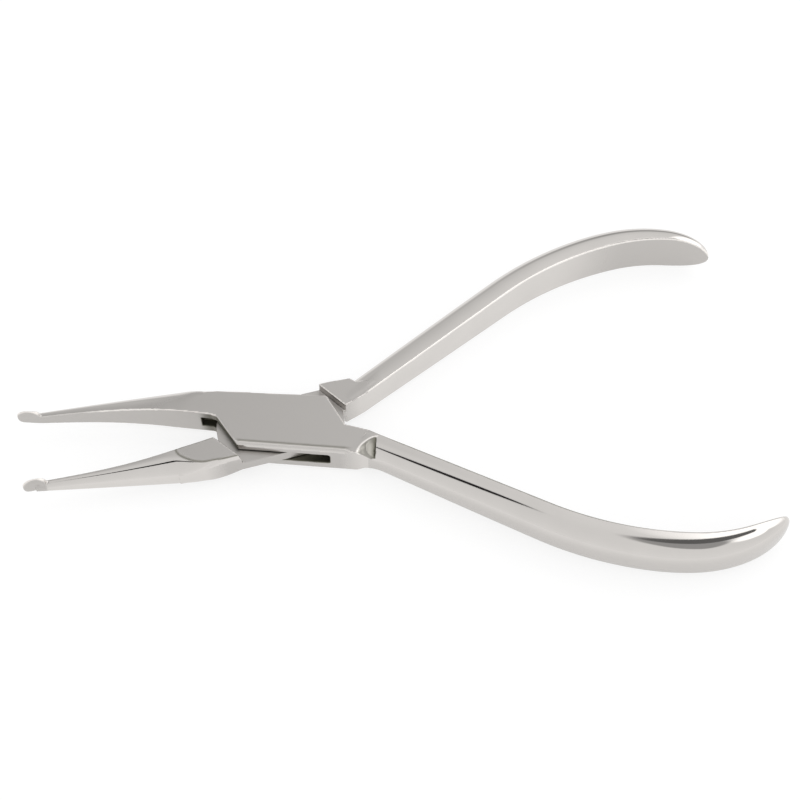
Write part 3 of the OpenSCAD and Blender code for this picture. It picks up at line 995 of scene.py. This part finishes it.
def node_of(tree, kind, **settings):
    """Node with its settings, and with input values where a name starts with in_."""
    node = tree.nodes.new(kind)
    for key, value in settings.items():
        if key.startswith("in_"):
            name = key[3:]
            node.inputs[int(name) if name.isdigit() else name.replace("_", " ")].default_value = value
        else:
            setattr(node, key, value)
    return node


def worked(tree, operation, *values, **settings):
    """Math node on sockets and plain numbers."""
    node = node_of(tree, "ShaderNodeMath", operation=operation, **settings)
    for socket, value in zip(node.inputs, values):
        if isinstance(value, bpy.types.NodeSocket):
            tree.links.new(value, socket)
        else:
            socket.default_value = value
    return node.outputs[0]


def ranged(tree, value, start, end, at_start=0.0, at_end=1.0):
    """Value mapped in a straight line, level beyond both ends."""
    node = node_of(tree, "ShaderNodeMapRange", in_1=start, in_2=end, in_3=at_start, in_4=at_end)
    tree.links.new(value, node.inputs[0])
    return node.outputs[0]


def laid_over(tree, share, behind, colour):
    """Plain colour laid by a share over the colour behind it."""
    node = node_of(tree, "ShaderNodeMix", data_type="RGBA", in_7=(*colour, 1))
    tree.links.new(share, node.inputs[0])
    tree.links.new(behind, node.inputs[6])
    return node.outputs[2]


def noise(tree, place, **settings):
    node = node_of(tree, "ShaderNodeTexNoise", **settings)
    tree.links.new(place, node.inputs["Vector"])
    return node.outputs[0]


# Steel
STEEL = (0.66, 0.635, 0.61)
CLOUD_DARK = 0.965
CLOUD_LIGHT = 1.035
SATIN_SHADE = 0.8
# Colour share of the painted highlights on edges
HIGHLIGHT_SHARE = 1.45
# Colour of the painted shade in recesses and along edges
PAINTED_SHADE_COLOUR = (0.17, 0.165, 0.13)
CLOUD_SCALE = 180.0
GRAIN_SCALE = 7000.0
LINE_SCALE = (500.0, 9000.0, 9000.0)
SATIN_ROUGHNESS = 0.34
POLISHED_ROUGHNESS = 0.035
RIVET_ROUGHNESS = 0.2
LINE_ROUGHNESS = 0.03
HIGHLIGHT_ROUGHNESS = 0.25
PAINTED_SHADE_ROUGHNESS = 0.4
POLISHED_BUMP = 0.04
SATIN_BUMP = 0.2
BUMP_HEIGHT = 0.00002


def shaded(share):
    """Steel's colour made darker or lighter."""
    return tuple(min(c * share, 1) for c in STEEL)


def steel_colour(tree, place, flat, edge, painted_dark):
    """Faintly clouded steel, duller where ground, darker with painted shade under the handles, bright
    with painted highlights on edges, and dark with painted shade in recesses.
    """
    cloud = noise(tree, place, in_Scale=CLOUD_SCALE, in_Detail=2.0)
    tint = node_of(tree, "ShaderNodeMix", data_type="RGBA",
                   in_6=(*shaded(CLOUD_DARK), 1), in_7=(*shaded(CLOUD_LIGHT), 1))
    tree.links.new(cloud, tint.inputs[0])
    toned = laid_over(tree, flat, tint.outputs[2], shaded(SATIN_SHADE))
    bright = laid_over(tree, edge, toned, shaded(HIGHLIGHT_SHARE))
    return laid_over(tree, painted_dark, bright, PAINTED_SHADE_COLOUR)


def steel_roughness(tree, place, flat, edge, painted_dark, polished_roughness):
    """Roughness with fine lines along the tool."""
    stretch = node_of(tree, "ShaderNodeMapping", in_Scale=LINE_SCALE)
    tree.links.new(place, stretch.inputs["Vector"])
    lines = noise(tree, stretch.outputs[0], in_Scale=1.0, in_Detail=2.0)
    base = ranged(tree, flat, 0.0, 1.0, polished_roughness, SATIN_ROUGHNESS)
    uneven = worked(tree, "MULTIPLY_ADD", lines, LINE_ROUGHNESS, base)
    highlight_rough = worked(tree, "MULTIPLY_ADD", edge, HIGHLIGHT_ROUGHNESS, uneven)
    return worked(tree, "MULTIPLY_ADD", painted_dark, PAINTED_SHADE_ROUGHNESS, highlight_rough, use_clamp=True)


def steel_bump(tree, place, flat):
    """Fine grain, stronger where the steel is ground."""
    grain = noise(tree, place, in_Scale=GRAIN_SCALE, in_Detail=3.0, in_Roughness=0.6)
    bump = node_of(tree, "ShaderNodeBump", in_Distance=BUMP_HEIGHT)
    tree.links.new(ranged(tree, flat, 0.0, 1.0, POLISHED_BUMP, SATIN_BUMP), bump.inputs["Strength"])
    tree.links.new(grain, bump.inputs["Height"])
    return bump.outputs[0]


def steel(name, polished_roughness):
    """Forged stainless steel: satin where it is ground flat, polished on its rounded sides."""
    material = bpy.data.materials.new(name)
    material.use_nodes = True
    tree = material.node_tree
    tree.nodes.clear()
    link = tree.links.new
    output = node_of(tree, "ShaderNodeOutputMaterial")
    shader = node_of(tree, "ShaderNodeBsdfPrincipled", in_Metallic=1.0)
    link(shader.outputs[0], output.inputs[0])
    place = node_of(tree, "ShaderNodeTexCoord").outputs["Object"]
    # Satin finish with painted shade, painted highlights on edges, and painted shade in recesses
    flat, edge, painted_dark = [
        node_of(tree, "ShaderNodeAttribute", attribute_name=key).outputs["Fac"]
        for key in ("satin", "edge_highlight", "painted_shade")
    ]
    roughness = steel_roughness(tree, place, flat, edge, painted_dark, polished_roughness)
    link(steel_colour(tree, place, flat, edge, painted_dark), shader.inputs["Base Color"])
    link(roughness, shader.inputs["Roughness"])
    link(steel_bump(tree, place, flat), shader.inputs["Normal"])
    return material


box_steel_piece.data.materials.append(steel("box_arm_steel", POLISHED_ROUGHNESS))
tongue_steel_piece.data.materials.append(steel("tongue_arm_steel", POLISHED_ROUGHNESS))
rivet_piece.data.materials.append(steel("rivet_steel", RIVET_ROUGHNESS))

# Floor under the handles, white with the faint shadow of the pliers
FLOOR_HALF = 1.5
PAPER = (0.3, 0.3, 0.3)
PAPER_GLOW = 0.75


def floor_paper():
    """Paper that is bright to the camera, in reflections and through glass, and sheds no other light."""
    paper = bpy.data.materials.new("floor_paper")
    paper.use_nodes = True
    tree = paper.node_tree
    shader = tree.nodes["Principled BSDF"]
    shader.inputs["Base Color"].default_value = (*PAPER, 1)
    shader.inputs["Roughness"].default_value = 1.0
    shader.inputs["Specular IOR Level"].default_value = 0.0
    shader.inputs["Emission Color"].default_value = (1, 1, 1, 1)
    rays = node_of(tree, "ShaderNodeLightPath").outputs
    seen = worked(tree, "MAXIMUM", rays["Is Camera Ray"], rays["Is Glossy Ray"])
    seen = worked(tree, "MAXIMUM", seen, rays["Is Transmission Ray"])
    glow = worked(tree, "MULTIPLY", seen, PAPER_GLOW)
    tree.links.new(glow, shader.inputs["Emission Strength"])
    return paper


lowest = min(corner[2] for piece in (box_steel_piece, tongue_steel_piece) for corner in piece.bound_box)
floor_mesh = bpy.data.meshes.new("floor")
floor_corners = [
    (-FLOOR_HALF, -FLOOR_HALF, lowest), (FLOOR_HALF, -FLOOR_HALF, lowest),
    (FLOOR_HALF, FLOOR_HALF, lowest), (-FLOOR_HALF, FLOOR_HALF, lowest),
]
floor_mesh.from_pydata(floor_corners, [], [(0, 1, 2, 3)])
floor_mesh.materials.append(floor_paper())
floor = bpy.data.objects.new("floor", floor_mesh)
bpy.context.scene.collection.objects.link(floor)

# Studio: a pale tent, dimmer behind on the left, with dark gaps overhead and panels behind.
# Light of its two sides by degrees, from the front floor over the top to the back floor
LEFT = [
    (0, 1.0), (25, 0.95), (60, 0.92), (85, 0.9), (98, 0.87), (111, 0.84), (119, 0.62),
    (127, 0.55), (140, 0.6), (153, 0.66), (165, 0.72), (176, 0.92), (180, 1.0),
]
RIGHT = [
    (0, 1.0), (25, 0.96), (60, 0.93), (85, 0.92), (120, 0.95), (140, 0.9),
    (153, 0.82), (161, 0.45), (170, 0.45), (176, 0.9), (180, 1.0),
]
# Each panel: its place in plan on the sky, its turn, half its length and width, and its light
PANELS = [
    ((0.56, 0.36), 0, (0.34, 0.34), 1.7),
    ((0.5, 0.0), 0, (0.18, 0.28), 1.7),
    ((0.17, -0.06), 0, (0.13, 0.29), 0.4),
    ((0.235, 0.195), 40, (0.165, 0.095), 0.15),
    ((-0.185, 0.158), 32, (0.125, 0.042), 0.02),
]
PANEL_EDGE = (0.9, 1.15)
PANEL_ENDLESS = 1000
SIDES_MEET = (-0.25, 0.15)
TENT_ENDS = (0.8, 0.96)


def tent_side(tree, share, stops):
    """Light of one side of the tent."""
    node = node_of(tree, "ShaderNodeValToRGB")
    elements = node.color_ramp.elements
    elements.remove(elements[1])
    for i, (angle, light) in enumerate(stops):
        stop = elements.new(angle / 180) if i else elements[0]
        stop.position = angle / 180
        stop.color = (light, light, light, 1)
    tree.links.new(share, node.inputs[0])
    return node.outputs[0]


def panelled(tree, place, behind, middle, turn, half_size, light):
    """An oval panel laid over the light behind it."""
    mapped = node_of(tree, "ShaderNodeMapping", vector_type="TEXTURE", in_Location=(*middle, 0),
                     in_Rotation=(0, 0, math.radians(turn)), in_Scale=(*half_size, PANEL_ENDLESS))
    tree.links.new(place, mapped.inputs["Vector"])
    out = node_of(tree, "ShaderNodeVectorMath", operation="LENGTH")
    tree.links.new(mapped.outputs[0], out.inputs[0])
    cover = ranged(tree, out.outputs["Value"], *PANEL_EDGE, 1.0, 0.0)
    return laid_over(tree, cover, behind, (light, light, light))


def light_studio():
    """World of the tent's two sides, the panels over them, and plain white ends."""
    world = bpy.data.worlds.new("studio")
    bpy.context.scene.world = world
    world.use_nodes = True
    tree = world.node_tree
    link = tree.links.new
    place = node_of(tree, "ShaderNodeTexCoord").outputs["Generated"]
    split = node_of(tree, "ShaderNodeSeparateXYZ")
    link(place, split.inputs[0])
    front = worked(tree, "MULTIPLY", split.outputs["Y"], -1.0)
    arc = worked(tree, "ARCTAN2", split.outputs["Z"], front)
    share = worked(tree, "DIVIDE", arc, math.pi)
    tent = node_of(tree, "ShaderNodeMix", data_type="RGBA")
    link(ranged(tree, split.outputs["X"], *SIDES_MEET), tent.inputs[0])
    link(tent_side(tree, share, LEFT), tent.inputs[6])
    link(tent_side(tree, share, RIGHT), tent.inputs[7])
    light = tent.outputs[2]
    for panel in PANELS:
        light = panelled(tree, place, light, *panel)
    reach = worked(tree, "ABSOLUTE", split.outputs["X"])
    light = laid_over(tree, ranged(tree, reach, *TENT_ENDS), light, (1, 1, 1))
    link(light, tree.nodes["Background"].inputs["Color"])


light_studio()

# Camera, in metres, with its lens and sensor in mm
LENS = 67.5
SENSOR_WIDTH = 36
NEAREST_SEEN = 0.01
CAMERA_TARGET = Vector((0.02195, 0.003175, 0.0029))
CAMERA_PLACE = Vector((0.00305, -0.14815, 0.22897))

camera_data = bpy.data.cameras.new("camera")
camera_data.lens = LENS
camera_data.sensor_width = SENSOR_WIDTH
camera_data.clip_start = NEAREST_SEEN
camera = bpy.data.objects.new("camera", camera_data)
bpy.context.scene.collection.objects.link(camera)
camera.location = CAMERA_PLACE
camera.rotation_euler = (CAMERA_TARGET - CAMERA_PLACE).to_track_quat("-Z", "Y").to_euler()
bpy.context.scene.camera = camera
bpy.context.scene.view_settings.view_transform = "Standard"
